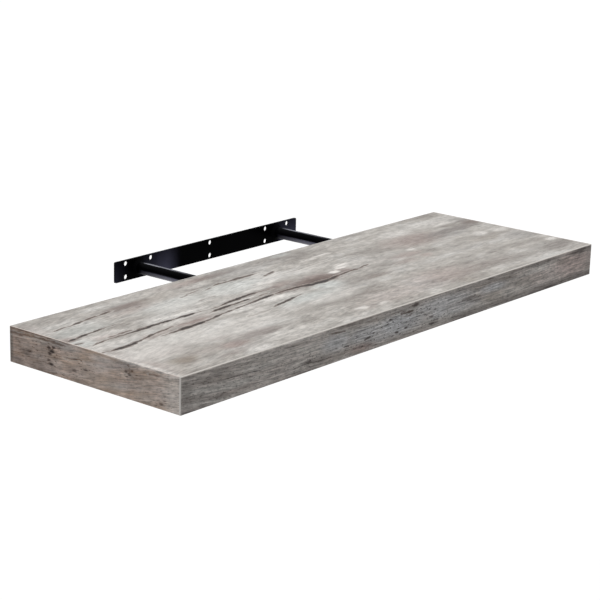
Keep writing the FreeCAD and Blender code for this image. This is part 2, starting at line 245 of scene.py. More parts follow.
# The front band's print, from the left end and from the top.
frontFigure = {
    "seed": 11.0,
    "axes": ("X", "Z"),
    "size": (shelf["length"], shelf["height"]),
    "face": ("Y", shelf["depth"]),
    # the band's pale core on its rounded arrises, partly a painted highlight of the light they catch
    "cutEdge": "#d3cec8",
    "trimmed": "#fbf6f1",       # the band's two sawn ends: its pale core, whitened as a painted highlight of the rounded corner too
    "ground": ("#a69d97", "#c5beb9", "#dbd7d2"),
    "flow": [(0, 9), (120, 0), (300, -3), (610, -4)],
    "drift": 3,
    "grain": {"broad": (120, 11, 3), "streak": (60, 1.9, 4), "fine": (18, 1.1, 3), "mottle": (7, 4, 4),
              "pore": (4, 1.3, 2)},
    "depth": {"streak": 0.85, "fine": 1.1, "mottle": 0.6},
    "pores": 0.4,
    "poreInk": "#3d332f",
    "tear": 4,
    "cracks": [
        (0.5, [(186, 4, 0.5), (203, 6, 0.6)]),
        (0.6, [(290, 7.4, 0.9), (302, 8.2, 0.9)]),
        (0.5, [(294, 10.8, 0.5), (302, 11.2, 0.5)]),
        (0.3, [(236, 5, 0.6), (262, 5.4, 0.8), (296, 4.6, 0.6)]),
    ],
    "patches": {
        "pale": [
            (92, 8, 34, 8, 0.3), (276, 17, 28, 9, 0.4), (330, 13, 34, 8, 0.4), (480, 16, 60, 7, 0.3),
            (520, 19, 50, 6, 0.65)],
        "umber": [(585, 30.5, 40, 2, 0.3)],
        "blush": [(572, 14, 44, 14, 1), (540, 18, 50, 8, 0.6)],
        "haze": [
            (195, 14, 20, 8, 0.8), (236, 15, 30, 7, 0.75), (284, 16, 38, 10, 1), (348, 10, 48, 7, 0.7),
            (372, 19, 34, 6, 0.6), (432, 11, 22, 4.5, 0.8), (345, 17, 16, 7, 0.8), (258, 22, 26, 5, 0.6)],
        "rosy": [
            (229, 27, 17, 4, 0.8), (584, 13, 26, 10, 0.35), (440, 28, 24, 2.5, 0.4), (60, 26, 30, 2, 0.3),
            (500, 13, 22, 3, 0.2)],
        "tan": [(434, 21, 18, 5, 0.4), (490, 17, 30, 6, 0.2), (556, 8, 12, 3, 0.3)],
        "slate": [
            (280, 3, 60, 3, 0.25), (6, 16, 9, 16, 0.55), (30, 16, 40, 18, 0.25), (336, 27, 14, 3, 0.6),
            (300, 18, 20, 3, 0.3), (395, 14, 9, 2, 0.5), (465, 13, 12, 2, 0.3), (600, 2.5, 14, 2.5, 0.5),
            (604, 16, 4, 16, 0.35), (524, 29.5, 46, 4, 0.95), (455, 29, 46, 3, 0.7), (584, 30, 50, 4.5, 1),
            (396, 29, 40, 4, 0.8), (395, 2.5, 40, 3, 0.4), (520, 2.5, 40, 3, 0.6), (590, 3, 30, 3.5, 0.8),
            (170, 24, 20, 4, 0.4)],
        "specks": [
            (60, 16, 80, 16, 0.25), (165, 23, 30, 6, 0.5), (240, 21, 50, 8, 0.7), (292, 12, 50, 13, 0.8),
            (300, 23, 50, 6, 0.6), (388, 13, 22, 5, 0.5), (350, 24, 24, 5, 0.5), (505, 14, 40, 8, 0.2)],
        "knot": [
            (208, 20.5, 4, 0.9, 0.8), (238, 19.5, 5, 1.1, 0.9), (280, 23.5, 3, 1.3, 0.9),
            (294, 22, 2.8, 1.1, 0.9), (308, 3.5, 5, 1.8, 0.9), (300, 8, 6, 1, 0.8), (271, 10, 4, 0.9, 0.7),
            (318, 13, 4, 0.9, 0.6), (332, 20, 4, 1, 0.7), (590, 4.2, 5, 1.2, 0.6), (340, 24, 5, 1, 0.6),
            (157, 23, 3.4, 1.3, 0.6), (334, 26.5, 4, 1.2, 0.6), (388, 13.6, 7, 1.1, 0.5),
            (427, 2, 7, 1.2, 0.7), (578, 3.5, 10, 1.6, 0.6), (531, 30.3, 11, 1.2, 0.7),
            (592, 2, 10, 1.4, 0.6)],
    },
}

# The end bands share one roll of banding, so both ends have this print, from the back edge and from the top.
endFigure = {
    "seed": 23.0,
    "axes": ("Y", "Z"),
    "size": (shelf["depth"], shelf["height"]),
    "face": ("X", 0.0),
    # the band's pale core on its rounded arrises, partly a painted highlight of the light they catch
    "cutEdge": "#d9cfc7",
    "ground": ("#b89c86", "#d1bcaf", "#dfd2cb"),
    "flow": [(0, -12), (100, -3), (200, 13)],
    "drift": 2.5,
    "grain": {"broad": (60, 10, 3), "streak": (30, 1.8, 4), "fine": (13, 1.1, 3), "mottle": (7, 5, 4),
              "pore": (4.5, 1.2, 2)},
    "depth": {"streak": 0.75, "fine": 0.95, "mottle": 0.6},
    "pores": 0.32,
    "poreInk": "#4a2b16",
    "tear": 4,
    "cracks": [
        (0.5, [(1, 5.4, 0.6), (14, 5, 0.8), (26, 3.8, 0.7), (40, 3.2, 0.5), (54, 3, 0.6), (70, 3.4, 0.4)]),
        (0.4, [(70, 13.5, 0.5), (86, 11.4, 0.6)]),
        (0.4, [(168, 5.2, 0.5), (184, 4.2, 0.6)]),
    ],
    "patches": {
        "haze": [
            (17, 10, 10, 5, 0.2), (165, 16, 14, 6, 0.15), (75, 7, 12, 3, 0.2), (120, 5, 22, 3, 0.15),
            (190, 28, 8, 3, 0.2)],
        "slate": [
            (1.5, 16, 2.4, 20, 0.85), (62, 4, 14, 4, 0.5), (137, 4, 12, 4, 0.5), (4, 2.4, 13, 2.6, 0.5),
            (20, 17, 8, 4, 0.35), (70, 1.5, 30, 1.5, 0.4), (64, 2, 5, 2, 0.5)],
        "umber": [
            (42, 0, 56, 1.8, 0.8), (10, 15, 16, 22, 0.3), (10, 29, 14, 5, 0.6), (36, 20, 24, 11, 0.5),
            (40, 29, 22, 4, 0.55), (62, 4, 13, 4, 0.35), (86, 30, 22, 3, 0.35), (140, 20, 14, 6, 0.2),
            (42, 12, 12, 14, 0.4), (20, 24, 26, 8, 0.4), (142, 10, 6, 5, 0.5), (90, 22, 16, 8, 0.2)],
        "rosy": [(115, 7, 16, 4, 0.45), (78, 22, 14, 4, 0.4), (185, 20, 12, 5, 0.4)],
        "tan": [(158, 12, 14, 14, 0.35), (122, 24, 8, 6, 0.3)],
        "pale": [
            (154, 0, 52, 1.6, 0.9), (132, 26, 18, 5, 0.3), (198, 16, 22, 24, 0.65), (110, 5, 16, 4, 0.4),
            (136, 12, 10, 4, 0.3), (60, 20, 10, 4, 0.25), (36, 5, 13, 3, 0.3), (100, 18, 34, 20, 0.25),
            (168, 27, 34, 5, 0.3), (40, 14, 20, 12, 0.12)],
        "calm": [(104, 17, 34, 18, 0.6), (164, 20, 18, 12, 0.4)],
        "specks": [
            (50, 14, 16, 14, 0.7), (25, 14, 20, 12, 0.4), (88, 15, 20, 8, 0.5), (142, 10, 12, 9, 0.6),
            (70, 27, 30, 4, 0.5), (175, 24, 20, 8, 0.3)],
        "knot": [
            (48.5, 9, 2.8, 1.6, 1), (52, 11.4, 3.4, 1.8, 1.1), (49.5, 14, 2.6, 1.4, 1),
            (54, 7.6, 2.4, 1.2, 0.9), (51, 22.4, 3, 1.2, 1), (48, 19.6, 2.2, 0.9, 0.7),
            (79, 22, 2.8, 1.2, 0.7), (80, 12, 3, 1, 0.6), (92.5, 18.6, 3, 1, 0.8), (24, 17, 3.4, 1.2, 0.5),
            (21, 21, 3.2, 1, 0.5), (139, 9, 1.8, 1.4, 0.7), (143, 11, 2, 1, 0.7), (140, 13.5, 1.8, 1, 0.6),
            (178, 27, 2.6, 0.9, 0.6)],
    },
}

# The underside has the top's paper in a calmer stretch, with a few short cracks.
underFigure = dict(
    topFigure, seed=41.0, face=("Z", shelf["height"]), flow=[(0, -4), (200, 2), (420, 6), (610, 0)],
    cracks=[
        (0.8, [(330, 60, 0.7), (370, 57, 1.3), (420, 58.5, 1.4), (465, 55, 0.8)]),
        (0.9, [(400, 122, 0.7), (440, 118, 1.4), (480, 119, 1.7), (530, 114, 1.2), (575, 115, 0.6)]),
        (0.6, [(60, 150, 0.6), (95, 147, 1.2), (140, 148, 0.8)]),
        (0.5, [(190, 40, 0.7), (225, 38.5, 1.2), (262, 40, 0.7)]),
    ],
    patches={
        "rosy": [(120, 60, 50, 14, 0.5), (430, 90, 60, 12, 0.5)],
        "umber": [(455, 117, 60, 9, 0.5), (90, 148, 40, 7, 0.4), (300, 180, 60, 10, 0.3)],
        "frost": [(250, 110, 60, 16, 0.5), (540, 50, 40, 14, 0.5)],
        "pale": [(380, 70, 50, 7, 0.7), (180, 130, 60, 9, 0.6), (500, 135, 45, 7, 0.7)],
        "slate": [(40, 30, 40, 12, 0.5), (340, 20, 60, 9, 0.4)],
    })


# How every figure is drawn. Lengths are millimetres. The other pairs are values of a noise or a mask, where
# an effect starts and where it is full.
drawing = {
    "swerve": (70, 26),         # length and width of the grain's slow swerves
    "roughness": 0.6,           # of the grain's noise
    "groundStops": (0.34, 0.5, 0.66),
    "patchReach": 1.25,         # a patch's half sizes are stretched by this
    "patchFade": (0.25, 1.2),   # shares of that where its ink is full and where it ends
    "knotFade": (0.3, 1.2),
    "calming": 0.6,             # share of the grain's shading that a calm patch takes away
    "poreFade": (0.56, 0.68),
    "fray": (8, 3),             # length and width of the tears in a crack's edge
    "frayThrow": (4, 5),        # how far they move it along and across
    "crackReach": 1.7,          # a crack's stain reaches this many half widths from its middle
    "crackRim": 1.1,            # and this far beyond
    "crackBody": 1.5,           # it pales where its width times this is less than its widest
    "opens": (18, 6),           # before its first point and after its last one, a crack's width
    "closes": (8, 20),          # comes down to nothing at these places
    "narrows": (0.32, 0.58),    # mottle noise that thins a crack and opens it up
    "narrowed": (0.7, 1.15),    # and what that makes of its depth
    "lip": [(0, 0), (0.1, 0.35), (0.2, 0.15), (0.3, 0), (1, 0)],    # pale fibres along a crack's edge
    "stainFade": (0.1, 0.6),
    "stain": 0.75,              # strength of the brown stain round a crack
    "blackFade": (0.32, 0.9),
    "bareFade": (0.05, 0.4),    # depth behind the printed face at which the sheet's own stuff shows
    "trimFade": (0.2, 0.05),    # distance from a band's sawn end
}


# How far a point lies from the shelf's upper back left corner: right, forward and down, in millimetres.
def sheetPlaces(tree):
    left, back, top = shelf["corner"]
    place = addNode(tree, "VectorMath", {
        0: addNode(tree, "TexCoord", {}).outputs["Object"],
        1: (1 / mm, -1 / mm, -1 / mm),
        2: (-left, back, top),
    }, operation="MULTIPLY_ADD")
    return addNode(tree, "SeparateXYZ", {0: place}).outputs


# The grain's own coordinates, which follow its bend and swerve a little off it.
def grainPlaces(tree, figure, along, across, share):
    length, width = figure["size"]
    flow = addNode(tree, "FloatCurve", {"Value": share})
    bendCurve(flow, [(x / length, 0.5 + y / width) for x, y in figure["flow"]])
    swerveLong, swerveWide = drawing["swerve"]
    swerve = addNode(tree, "TexNoise", {
        "Vector": addNode(tree, "Mapping", {
            "Vector": addNode(tree, "CombineXYZ", {0: along, 1: across, 2: figure["seed"]}),
            "Scale": (1 / swerveLong, 1 / swerveWide, 1),
        }), "Scale": 1, "Detail": 2})
    bent = addNode(tree, "Math", {0: flow, 1: width, 2: across}, operation="MULTIPLY_ADD")
    bent = addNode(tree, "Math", {0: swerve, 1: figure["drift"], 2: bent}, operation="MULTIPLY_ADD")
    return addNode(tree, "CombineXYZ", {0: along, 1: bent, 2: figure["seed"]})


# Patches of ink over the ground. Streaks tear their outlines. Calm and specks are masks without an ink.
def patchesOver(tree, figure, colour, along, across, streak):
    tear = figure["tear"]
    middle = addNode(tree, "Math", {0: across, 1: tear / 2}, operation="SUBTRACT")
    tornAcross = addNode(tree, "Math", {0: streak, 1: tear, 2: middle}, operation="MULTIPLY_ADD")
    torn = addNode(tree, "CombineXYZ", {0: along, 1: tornAcross, 2: 0.0})
    masks = {}
    for ink, patches in figure["patches"].items():
        full, none = drawing["knotFade"] if ink == "knot" else drawing["patchFade"]
        mask = 0.0
        for x, y, halfLength, halfWidth, strength in patches:
            scaleX = 1 / (halfLength * drawing["patchReach"])
            scaleY = 1 / (halfWidth * drawing["patchReach"])
            offset = addNode(tree, "VectorMath", {
                0: torn, 1: (scaleX, scaleY, 0), 2: (-x * scaleX, -y * scaleY, 0)}, operation="MULTIPLY_ADD")
            away = addNode(tree, "VectorMath", {0: offset}, operation="LENGTH").outputs["Value"]
            patch = addNode(tree, "MapRange", {
                "Value": away, "From Min": full, "From Max": none, "To Min": strength, "To Max": 0}, **eased)
            mask = addNode(tree, "Math", {0: mask, 1: patch}, operation="MAXIMUM")
        masks[ink] = mask
        if ink in inks and ink != "fleck":
            colour = addNode(tree, "Mix", {"Factor": mask, "A": colour, "B": inks[ink]}, data_type="RGBA")
    return colour, masks


# The grain's shading and then the pores. Noise is a half on average, which leaves the shade at one.
def grainOver(tree, figure, colour, layers, masks):
    shade = 1 - sum(figure["depth"].values())
    for layer, depth in figure["depth"].items():
        shade = addNode(tree, "Math", {0: layers[layer], 1: depth * 2, 2: shade}, operation="MULTIPLY_ADD")
    if "calm" in masks:
        even = addNode(tree, "Math", {0: masks["calm"], 1: drawing["calming"]}, operation="MULTIPLY")
        shade = addNode(tree, "Mix", {"Factor": even, "A": shade, "B": 1.0})
    colour = addNode(tree, "VectorMath", {0: colour, "Scale": shade}, operation="SCALE")
    start, full = drawing["poreFade"]
    pores = addNode(tree, "MapRange", {
        "Value": layers["pore"], "From Min": start, "From Max": full}, **eased)
    filled = addNode(tree, "Math", {0: masks.get("specks", 0.0), 1: figure["pores"]}, operation="ADD")
    pores = addNode(tree, "Math", {0: pores, 1: filled}, operation="MULTIPLY", use_clamp=True)
    return addNode(tree, "Mix", {"Factor": pores, "A": colour, "B": figure["poreInk"]}, data_type="RGBA")


# How deep a place lies in a crack, from 0 outside to 1 at its middle.
def crackDepth(tree, figure, grain, across, share, mottle):
    length, width = figure["size"]
    runs, wide = drawing["fray"]
    fray = addNode(tree, "TexNoise", {
        "Vector": addNode(tree, "Mapping", {"Vector": grain, "Scale": (1 / runs, 1 / wide, 1)}),
        "Scale": 1, "Detail": 4, "Roughness": drawing["roughness"]})
    throwLong, throwWide = drawing["frayThrow"]
    edge = addNode(tree, "Math", {
        0: fray, 1: throwWide / width, 2: -throwWide / 2 / width}, operation="MULTIPLY_ADD")
    frayedShare = addNode(tree, "Math", {0: fray, 1: throwLong / length, 2: share}, operation="MULTIPLY_ADD")
    level = addNode(tree, "Math", {0: across, 1: 1 / width, 2: edge}, operation="MULTIPLY_ADD")
    depth = 0.0
    for darkness, line in figure["cracks"]:
        widest = max(half for _, _, half in line)
        middle = addNode(tree, "FloatCurve", {"Value": frayedShare})
        bendCurve(middle, [(x / length, y / width) for x, y, _ in line])
        opening = [(line[0][0] - before, 0, 0) for before in drawing["opens"]]
        closing = [(line[-1][0] + after, 0, 0) for after in drawing["closes"]]
        outline = [point for point in opening + line + closing if point[0] >= 0]
        body = addNode(tree, "FloatCurve", {"Value": frayedShare})
        bendCurve(body, [(x / length, half / widest) for x, _, half in outline])
        offset = addNode(tree, "Math", {0: level, 1: middle}, operation="SUBTRACT")
        away = addNode(tree, "Math", {0: offset}, operation="ABSOLUTE")
        reach = addNode(tree, "Math", {
            0: body, 1: drawing["crackReach"] * widest / width, 2: drawing["crackRim"] / width,
        }, operation="MULTIPLY_ADD")
        inside = addNode(tree, "MapRange", {
            "Value": addNode(tree, "Math", {0: away, 1: reach}, operation="DIVIDE"),
            "From Min": 0, "From Max": 1, "To Min": darkness, "To Max": 0})
        whole = addNode(tree, "Math", {
            0: body, 1: drawing["crackBody"]}, operation="MULTIPLY", use_clamp=True)
        inside = addNode(tree, "Math", {0: inside, 1: whole}, operation="MULTIPLY")
        depth = addNode(tree, "Math", {0: depth, 1: inside}, operation="MAXIMUM")
    narrow, wide = drawing["narrows"]
    least, most = drawing["narrowed"]
    narrowed = addNode(tree, "MapRange", {
        "Value": mottle, "From Min": narrow, "From Max": wide, "To Min": least, "To Max": most})
    return addNode(tree, "Math", {0: depth, 1: narrowed}, operation="MULTIPLY", use_clamp=True)


# From its edge inward, a crack has pale lips, a brown stain and a black middle.
def crackOver(tree, colour, depth):
    lip = addNode(tree, "FloatCurve", {"Value": depth})
    bendCurve(lip, drawing["lip"])
    colour = addNode(tree, "Mix", {"Factor": lip, "A": colour, "B": inks["pale"]}, data_type="RGBA")
    start, full = drawing["stainFade"]
    stain = addNode(tree, "MapRange", {
        "Value": depth, "From Min": start, "From Max": full, "To Max": drawing["stain"]}, **eased)
    colour = addNode(tree, "Mix", {"Factor": stain, "A": colour, "B": inks["halo"]}, data_type="RGBA")
    start, full = drawing["blackFade"]
    black = addNode(tree, "MapRange", {"Value": depth, "From Min": start, "From Max": full}, **eased)
    return addNode(tree, "Mix", {"Factor": black, "A": colour, "B": inks["crack"]}, data_type="RGBA")


# Past the printed face the sheet shows what it is made of, and at a band's sawn ends too. On the bands that
# pale colour is partly a painted highlight of their rounded arrises and corners.
def cutEdgesOver(tree, figure, colour, places, along):
    side, face = figure["face"]
    offset = addNode(tree, "Math", {0: places[side], 1: face}, operation="SUBTRACT")
    behind = addNode(tree, "Math", {0: offset}, operation="ABSOLUTE")
    start, full = drawing["bareFade"]
    bare = addNode(tree, "MapRange", {"Value": behind, "From Min": start, "From Max": full}, **eased)
    colour = addNode(tree, "Mix", {"Factor": bare, "A": colour, "B": figure["cutEdge"]}, data_type="RGBA")
    if "trimmed" in figure:
        half = figure["size"][0] / 2
        offset = addNode(tree, "Math", {0: along, 1: half}, operation="SUBTRACT")
        away = addNode(tree, "Math", {0: offset}, operation="ABSOLUTE")
        start, full = drawing["trimFade"]
        end = addNode(tree, "MapRange", {"Value": away, "From Min": half - start, "From Max": half - full})
        colour = addNode(tree, "Mix", {"Factor": end, "A": colour, "B": figure["trimmed"]}, data_type="RGBA")
    return colour


def printSheet(tree, figure):
    places = sheetPlaces(tree)
    along, across = (places[name] for name in figure["axes"])
    share = addNode(tree, "Math", {0: along, 1: figure["size"][0]}, operation="DIVIDE")
    grain = grainPlaces(tree, figure, along, across, share)
    layers = {}
    for layer, (runs, wide, detail) in figure["grain"].items():
        layers[layer] = addNode(tree, "TexNoise", {
            "Vector": addNode(tree, "Mapping", {"Vector": grain, "Scale": (1 / runs, 1 / wide, 1)}),
            "Scale": 1, "Detail": detail, "Roughness": drawing["roughness"]})
    ground = addNode(tree, "ValToRGB", {"Fac": layers["broad"]})
    ground.color_ramp.elements.new(0.5)
    for stop, position, code in zip(ground.color_ramp.elements, drawing["groundStops"], figure["ground"]):
        stop.position = position
        stop.color = linearColour(code)
    colour, masks = patchesOver(tree, figure, ground, along, across, layers["streak"])
    colour = grainOver(tree, figure, colour, layers, masks)
    colour = crackOver(tree, colour, crackDepth(tree, figure, grain, across, share, layers["mottle"]))
    if "fleck" in masks:
        colour = addNode(tree, "Mix", {
            "Factor": masks["fleck"], "A": colour, "B": inks["fleck"]}, data_type="RGBA")
    return cutEdgesOver(tree, figure, colour, places, along), layers


# Melamine laminate: a printed paper pressed under clear resin against an embossed plate. Matte, with the
# pores of the grain pressed in a tenth of a millimetre deep, so that light breaks along the streaks.
decor = {
    "roughness": (0.48, 0.64),  # on the ridges and in the pores
    "streaks": (0.3, 0.7),      # streak noise in the pores and on the ridges
    "pressedDepth": 0.12,       # millimetres
    "ior": 1.5,
    "gloss": 0.2,               # specular level
}


def melaminePrint(name, figure):
    material, tree = newTree(name)
    colour, layers = printSheet(tree, figure)
    ridge, pore = decor["roughness"]
    low, high = decor["streaks"]
    dull = addNode(tree, "MapRange", {
        "Value": layers["streak"], "From Min": low, "From Max": high, "To Min": pore, "To Max": ridge})
    relief = addNode(tree, "Math", {0: layers["fine"], 1: layers["streak"]}, operation="ADD")
    pressed = addNode(tree, "Bump", {"Strength": 1, "Distance": decor["pressedDepth"] * mm, "Height": relief})
    surface = addNode(tree, "BsdfPrincipled", {
        "Base Color": colour, "Roughness": dull, "IOR": decor["ior"], "Specular IOR Level": decor["gloss"],
        "Normal": pressed})
    addNode(tree, "OutputMaterial", {"Surface": surface})
    return material


prints = {
    "top_laminate": ("melamineOakPrint", topFigure),
    "bottom_laminate": ("melamineOakPrintUnderside", underFigure),
    "front_edge_band": ("melamineOakBandFront", frontFigure),
    "left_edge_band": ("melamineOakBandLeft", endFigure),
    "right_edge_band": ("melamineOakBandRight", dict(endFigure, seed=31.0, face=("X", shelf["length"]))),
}
for piece, (printName, printFigure) in prints.items():
    dress(melaminePrint(printName, printFigure), piece)
print("decor laminate and bands done")


# Fibreboard: wood fibres and glue, hot pressed. MDF is pale and even, sawn edges felted with short fibres.
# Hardboard is pressed harder, so it is darker and closer. Fibres are under 0.5 mm wide, drawn at 1 mm.
boards = {
    "mdf": {"colours": ("#8f7250", "#b4946c", "#cdb28c"), "fibre": (4.5, 1.0), "cloud": 40, "rough": 0.85},
    "hardboard": {"colours": ("#5d442c", "#7c5f41", "#947552"), "fibre": (3, 1.0), "cloud": 30, "rough": 0.7},
}
felting = {
    "stops": (0.32, 0.5, 0.68),
    "clouds": 0.6,              # share of the tone that comes from soft clouds
    "fibres": (0.5, -0.3),      # share from each of the two ways that fibres lie, and what evens it out
    "nap": 0.3,                 # millimetres that fibres stand up
    "napStrength": 0.7,
}


def fibreboard(kind):
    board = boards[kind]
    material, tree = newTree(kind + "Fibreboard")
    place = addNode(tree, "TexCoord", {}).outputs["Object"]
    long, wide = (1 / (size * mm) for size in board["fibre"])
    lying = []
    for scale in ((long, wide, wide), (wide, long, long)):
        lying.append(addNode(tree, "TexNoise", {
            "Vector": addNode(tree, "Mapping", {"Vector": place, "Scale": scale}),
            "Scale": 1, "Detail": 3, "Roughness": 0.65}))
    cloud = addNode(tree, "TexNoise", {"Vector": place, "Scale": 1 / (board["cloud"] * mm), "Detail": 3})
    felt = addNode(tree, "Math", {0: lying[0], 1: lying[1]}, operation="ADD")
    part, even = felting["fibres"]
    tone = addNode(tree, "Math", {0: felt, 1: part, 2: even}, operation="MULTIPLY_ADD")
    tone = addNode(tree, "Math", {0: cloud, 1: felting["clouds"], 2: tone}, operation="MULTIPLY_ADD")
    colour = addNode(tree, "ValToRGB", {"Fac": tone})
    colour.color_ramp.elements.new(0.5)
    for stop, position, code in zip(colour.color_ramp.elements, felting["stops"], board["colours"]):
        stop.position = position
        stop.color = linearColour(code)
    nap = addNode(tree, "Bump", {
        "Strength": felting["napStrength"], "Distance": felting["nap"] * mm, "Height": felt})
    surface = addNode(tree, "BsdfPrincipled", {
        "Base Color": colour, "Roughness": board["rough"], "Normal": nap})
    addNode(tree, "OutputMaterial", {"Surface": surface})
    return material


dress(fibreboard("mdf"), "front_rail", "back_rail", "left_end_rail", "right_end_rail",
      "left_guide_block", "right_guide_block")
dress(fibreboard("hardboard"), "top_skin", "bottom_skin")


# Honeycomb core: brown kraft paper, unbleached and calendered, with faint lines from the rolls.
kraft = {
    "paper": "#a98357",
    "thick": "#8c693f",
    "rollLine": 1.2,            # millimetres from line to line
    "breaks": 60,               # how often a line changes, per metre of its run
    "ribDepth": 0.1,            # millimetres
    "ribStrength": 0.5,
    "rough": 0.8,
}


def kraftPaper():
    material, tree = newTree("kraftPaper")
    place = addNode(tree, "TexCoord", {}).outputs["Object"]
    scale = (kraft["breaks"], kraft["breaks"], 1 / (kraft["rollLine"] * mm))
    lines = addNode(tree, "TexNoise", {
        "Vector": addNode(tree, "Mapping", {"Vector": place, "Scale": scale}), "Scale": 1, "Detail": 4})
    colour = addNode(tree, "Mix", {
        "Factor": lines, "A": kraft["thick"], "B": kraft["paper"]}, data_type="RGBA")
    ribs = addNode(tree, "Bump", {
        "Strength": kraft["ribStrength"], "Distance": kraft["ribDepth"] * mm, "Height": lines})
    surface = addNode(tree, "BsdfPrincipled", {
        "Base Color": colour, "Roughness": kraft["rough"], "Normal": ribs})
    addNode(tree, "OutputMaterial", {"Surface": surface})
    return material


dress(kraftPaper(), "left_core", "centre_core", "right_core")


# Staples: drawn and zinc plated steel wire, so a soft metal gleam with fine lines along the wire.
staples = {
    "zinc": "#b6b9bd",
    "wearAndHighlight": "#8d8f92",
    "drawLine": 0.3,            # millimetres
    "rough": (0.3, 0.45),
}


def zincPlatedSteel():
    material, tree = newTree("zincPlatedSteel")
    place = addNode(tree, "TexCoord", {}).outputs["Object"]
    lines = addNode(tree, "TexNoise", {
        "Vector": place, "Scale": 1 / (staples["drawLine"] * mm), "Detail": 2})
    colour = addNode(tree, "Mix", {
        "Factor": lines, "A": staples["wearAndHighlight"], "B": staples["zinc"]}, data_type="RGBA")
    smooth, rough = staples["rough"]
    dull = addNode(tree, "MapRange", {"Value": lines, "To Min": smooth, "To Max": rough})
    surface = addNode(tree, "BsdfPrincipled", {"Base Color": colour, "Metallic": 1, "Roughness": dull})
    addNode(tree, "OutputMaterial", {"Surface": surface})
    return material


dress(zincPlatedSteel(), "frame_staples")
print("core materials done")


# Powder coat: black polyester powder, sprayed on the welded bracket and baked. It flows into a fine orange
# peel with a satin gloss. Paler colours on the plate and the rods are painted reflection and painted
# highlight. A pair whose name ends in Flow is the cloud noise at which an effect starts and is full.
coat = {
    "black": "#010102",
    "thick": "#050507",         # a little paler, where more powder lies
    "thickFlow": (0.35, 0.7),
    "cloud": 35,                # millimetres across a cloud of thicker coat
    "peel": 2.2,                # the real peel is about 1 mm wide, drawn coarser
    "peelDepth": 0.05,          # millimetres
    "rough": (0.34, 0.5),
    "roughFlow": (0.3, 0.7),
    "ior": 1.5,
    "gloss": 0.005,             # specular level of the dark resin
    "sheen": 0.35,              # satin rim of light where the coat turns away
    "plateSheen": 0.05,
    "sheenSpread": 0.2,
    "sheenTint": "#a9b0cc",
    "clear": 0.01,              # share of clear resin that floats up over the pigment
    "clearRough": 0.15,
}

# Painted reflection: a bluish sheen painted into the plate's colour, to the right of each rod.
platePaintedReflection = {
    "paintedReflection": "#64657c",
    # places along the plate in millimetres from its middle, and how much of the painted reflection shows
    "reflectionAlongPlate": [(-136, 0.3), (-126, 0.1), (-108, 0), (-96, 0.3), (-80, 0.55), (-65, 1), (-58, 0.75), (-50, 0.25),
            (-41, 0), (98, 0), (112, 0.7), (136, 0.9)],
    "cloudFlow": (0.3, 0.6),
    "cloudy": (0.7, 1),         # share of it that shows between the clouds and in them
    "fall": (0.3, 1),           # and at the plate's top and bottom
}

# On the rods: a painted highlight along the top, and a painted reflection with more clear resin along the
# lower side.
rodCoatAndPaintedLight = {
    # colour of the painted highlight along each rod's top
    "paintedHighlight": "#a0a1aa",
    "crown": (0.94, 0.99),      # upward part of the surface's direction where the painted highlight starts and is full
    "highlightStreaks": (900, 45, 900),   # per metre, long streaks along the rod that break up the painted highlight
    "highlightStreakFade": (0.38, 0.6),     # their noise, where they start and are full
    "reach": 150,               # millimetres from the wall, nearly to the rods' tips
    "highlightAlongRod": [(0.06, 0), (0.13, 1), (0.38, 1), (0.5, 0.25), (1, 0.25)],   # the painted highlight's strength along that reach
    # colour of the painted reflection of the floor along each rod's lower side
    "paintedReflection": "#6f6e86",
    "under": (0.08, -0.25),     # upward part of the surface's direction where the painted reflection starts and is full
    "clearOfPlate": (7, 45),    # millimetres from the wall, where that starts and is full
    "pooled": 0.9,              # share of clear resin along the lower side, under the painted reflection
}


# How much painted reflection shows on the plate: beside the rods, on its front face, more towards the bottom.
def reflectionPaintedOnPlate(tree, place, flow):
    low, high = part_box("wall_plate")
    share = addNode(tree, "MapRange", {"Value": place["X"], "From Min": low.x, "From Max": high.x})
    reflectionAlongPlate = addNode(tree, "FloatCurve", {"Value": share})
    width = (high.x - low.x) / mm
    bendCurve(reflectionAlongPlate, [(0.5 + x / width, amount) for x, amount in platePaintedReflection["reflectionAlongPlate"]])
    front = addNode(tree, "MapRange", {
        "Value": place["Y"], "From Min": (low.y + high.y) / 2, "From Max": low.y})
    start, full = platePaintedReflection["cloudFlow"]
    least, most = platePaintedReflection["cloudy"]
    cloudy = addNode(tree, "MapRange", {
        "Value": flow, "From Min": start, "From Max": full, "To Min": least, "To Max": most})
    atTop, atBottom = platePaintedReflection["fall"]
    fall = addNode(tree, "MapRange", {
        "Value": place["Z"], "From Min": high.z, "From Max": low.z, "To Min": atTop, "To Max": atBottom})
    paintedReflection = addNode(tree, "Math", {0: front, 1: fall}, operation="MULTIPLY")
    paintedReflection = addNode(tree, "Math", {0: reflectionAlongPlate, 1: paintedReflection}, operation="MULTIPLY")
    return addNode(tree, "Math", {0: paintedReflection, 1: cloudy}, operation="MULTIPLY")


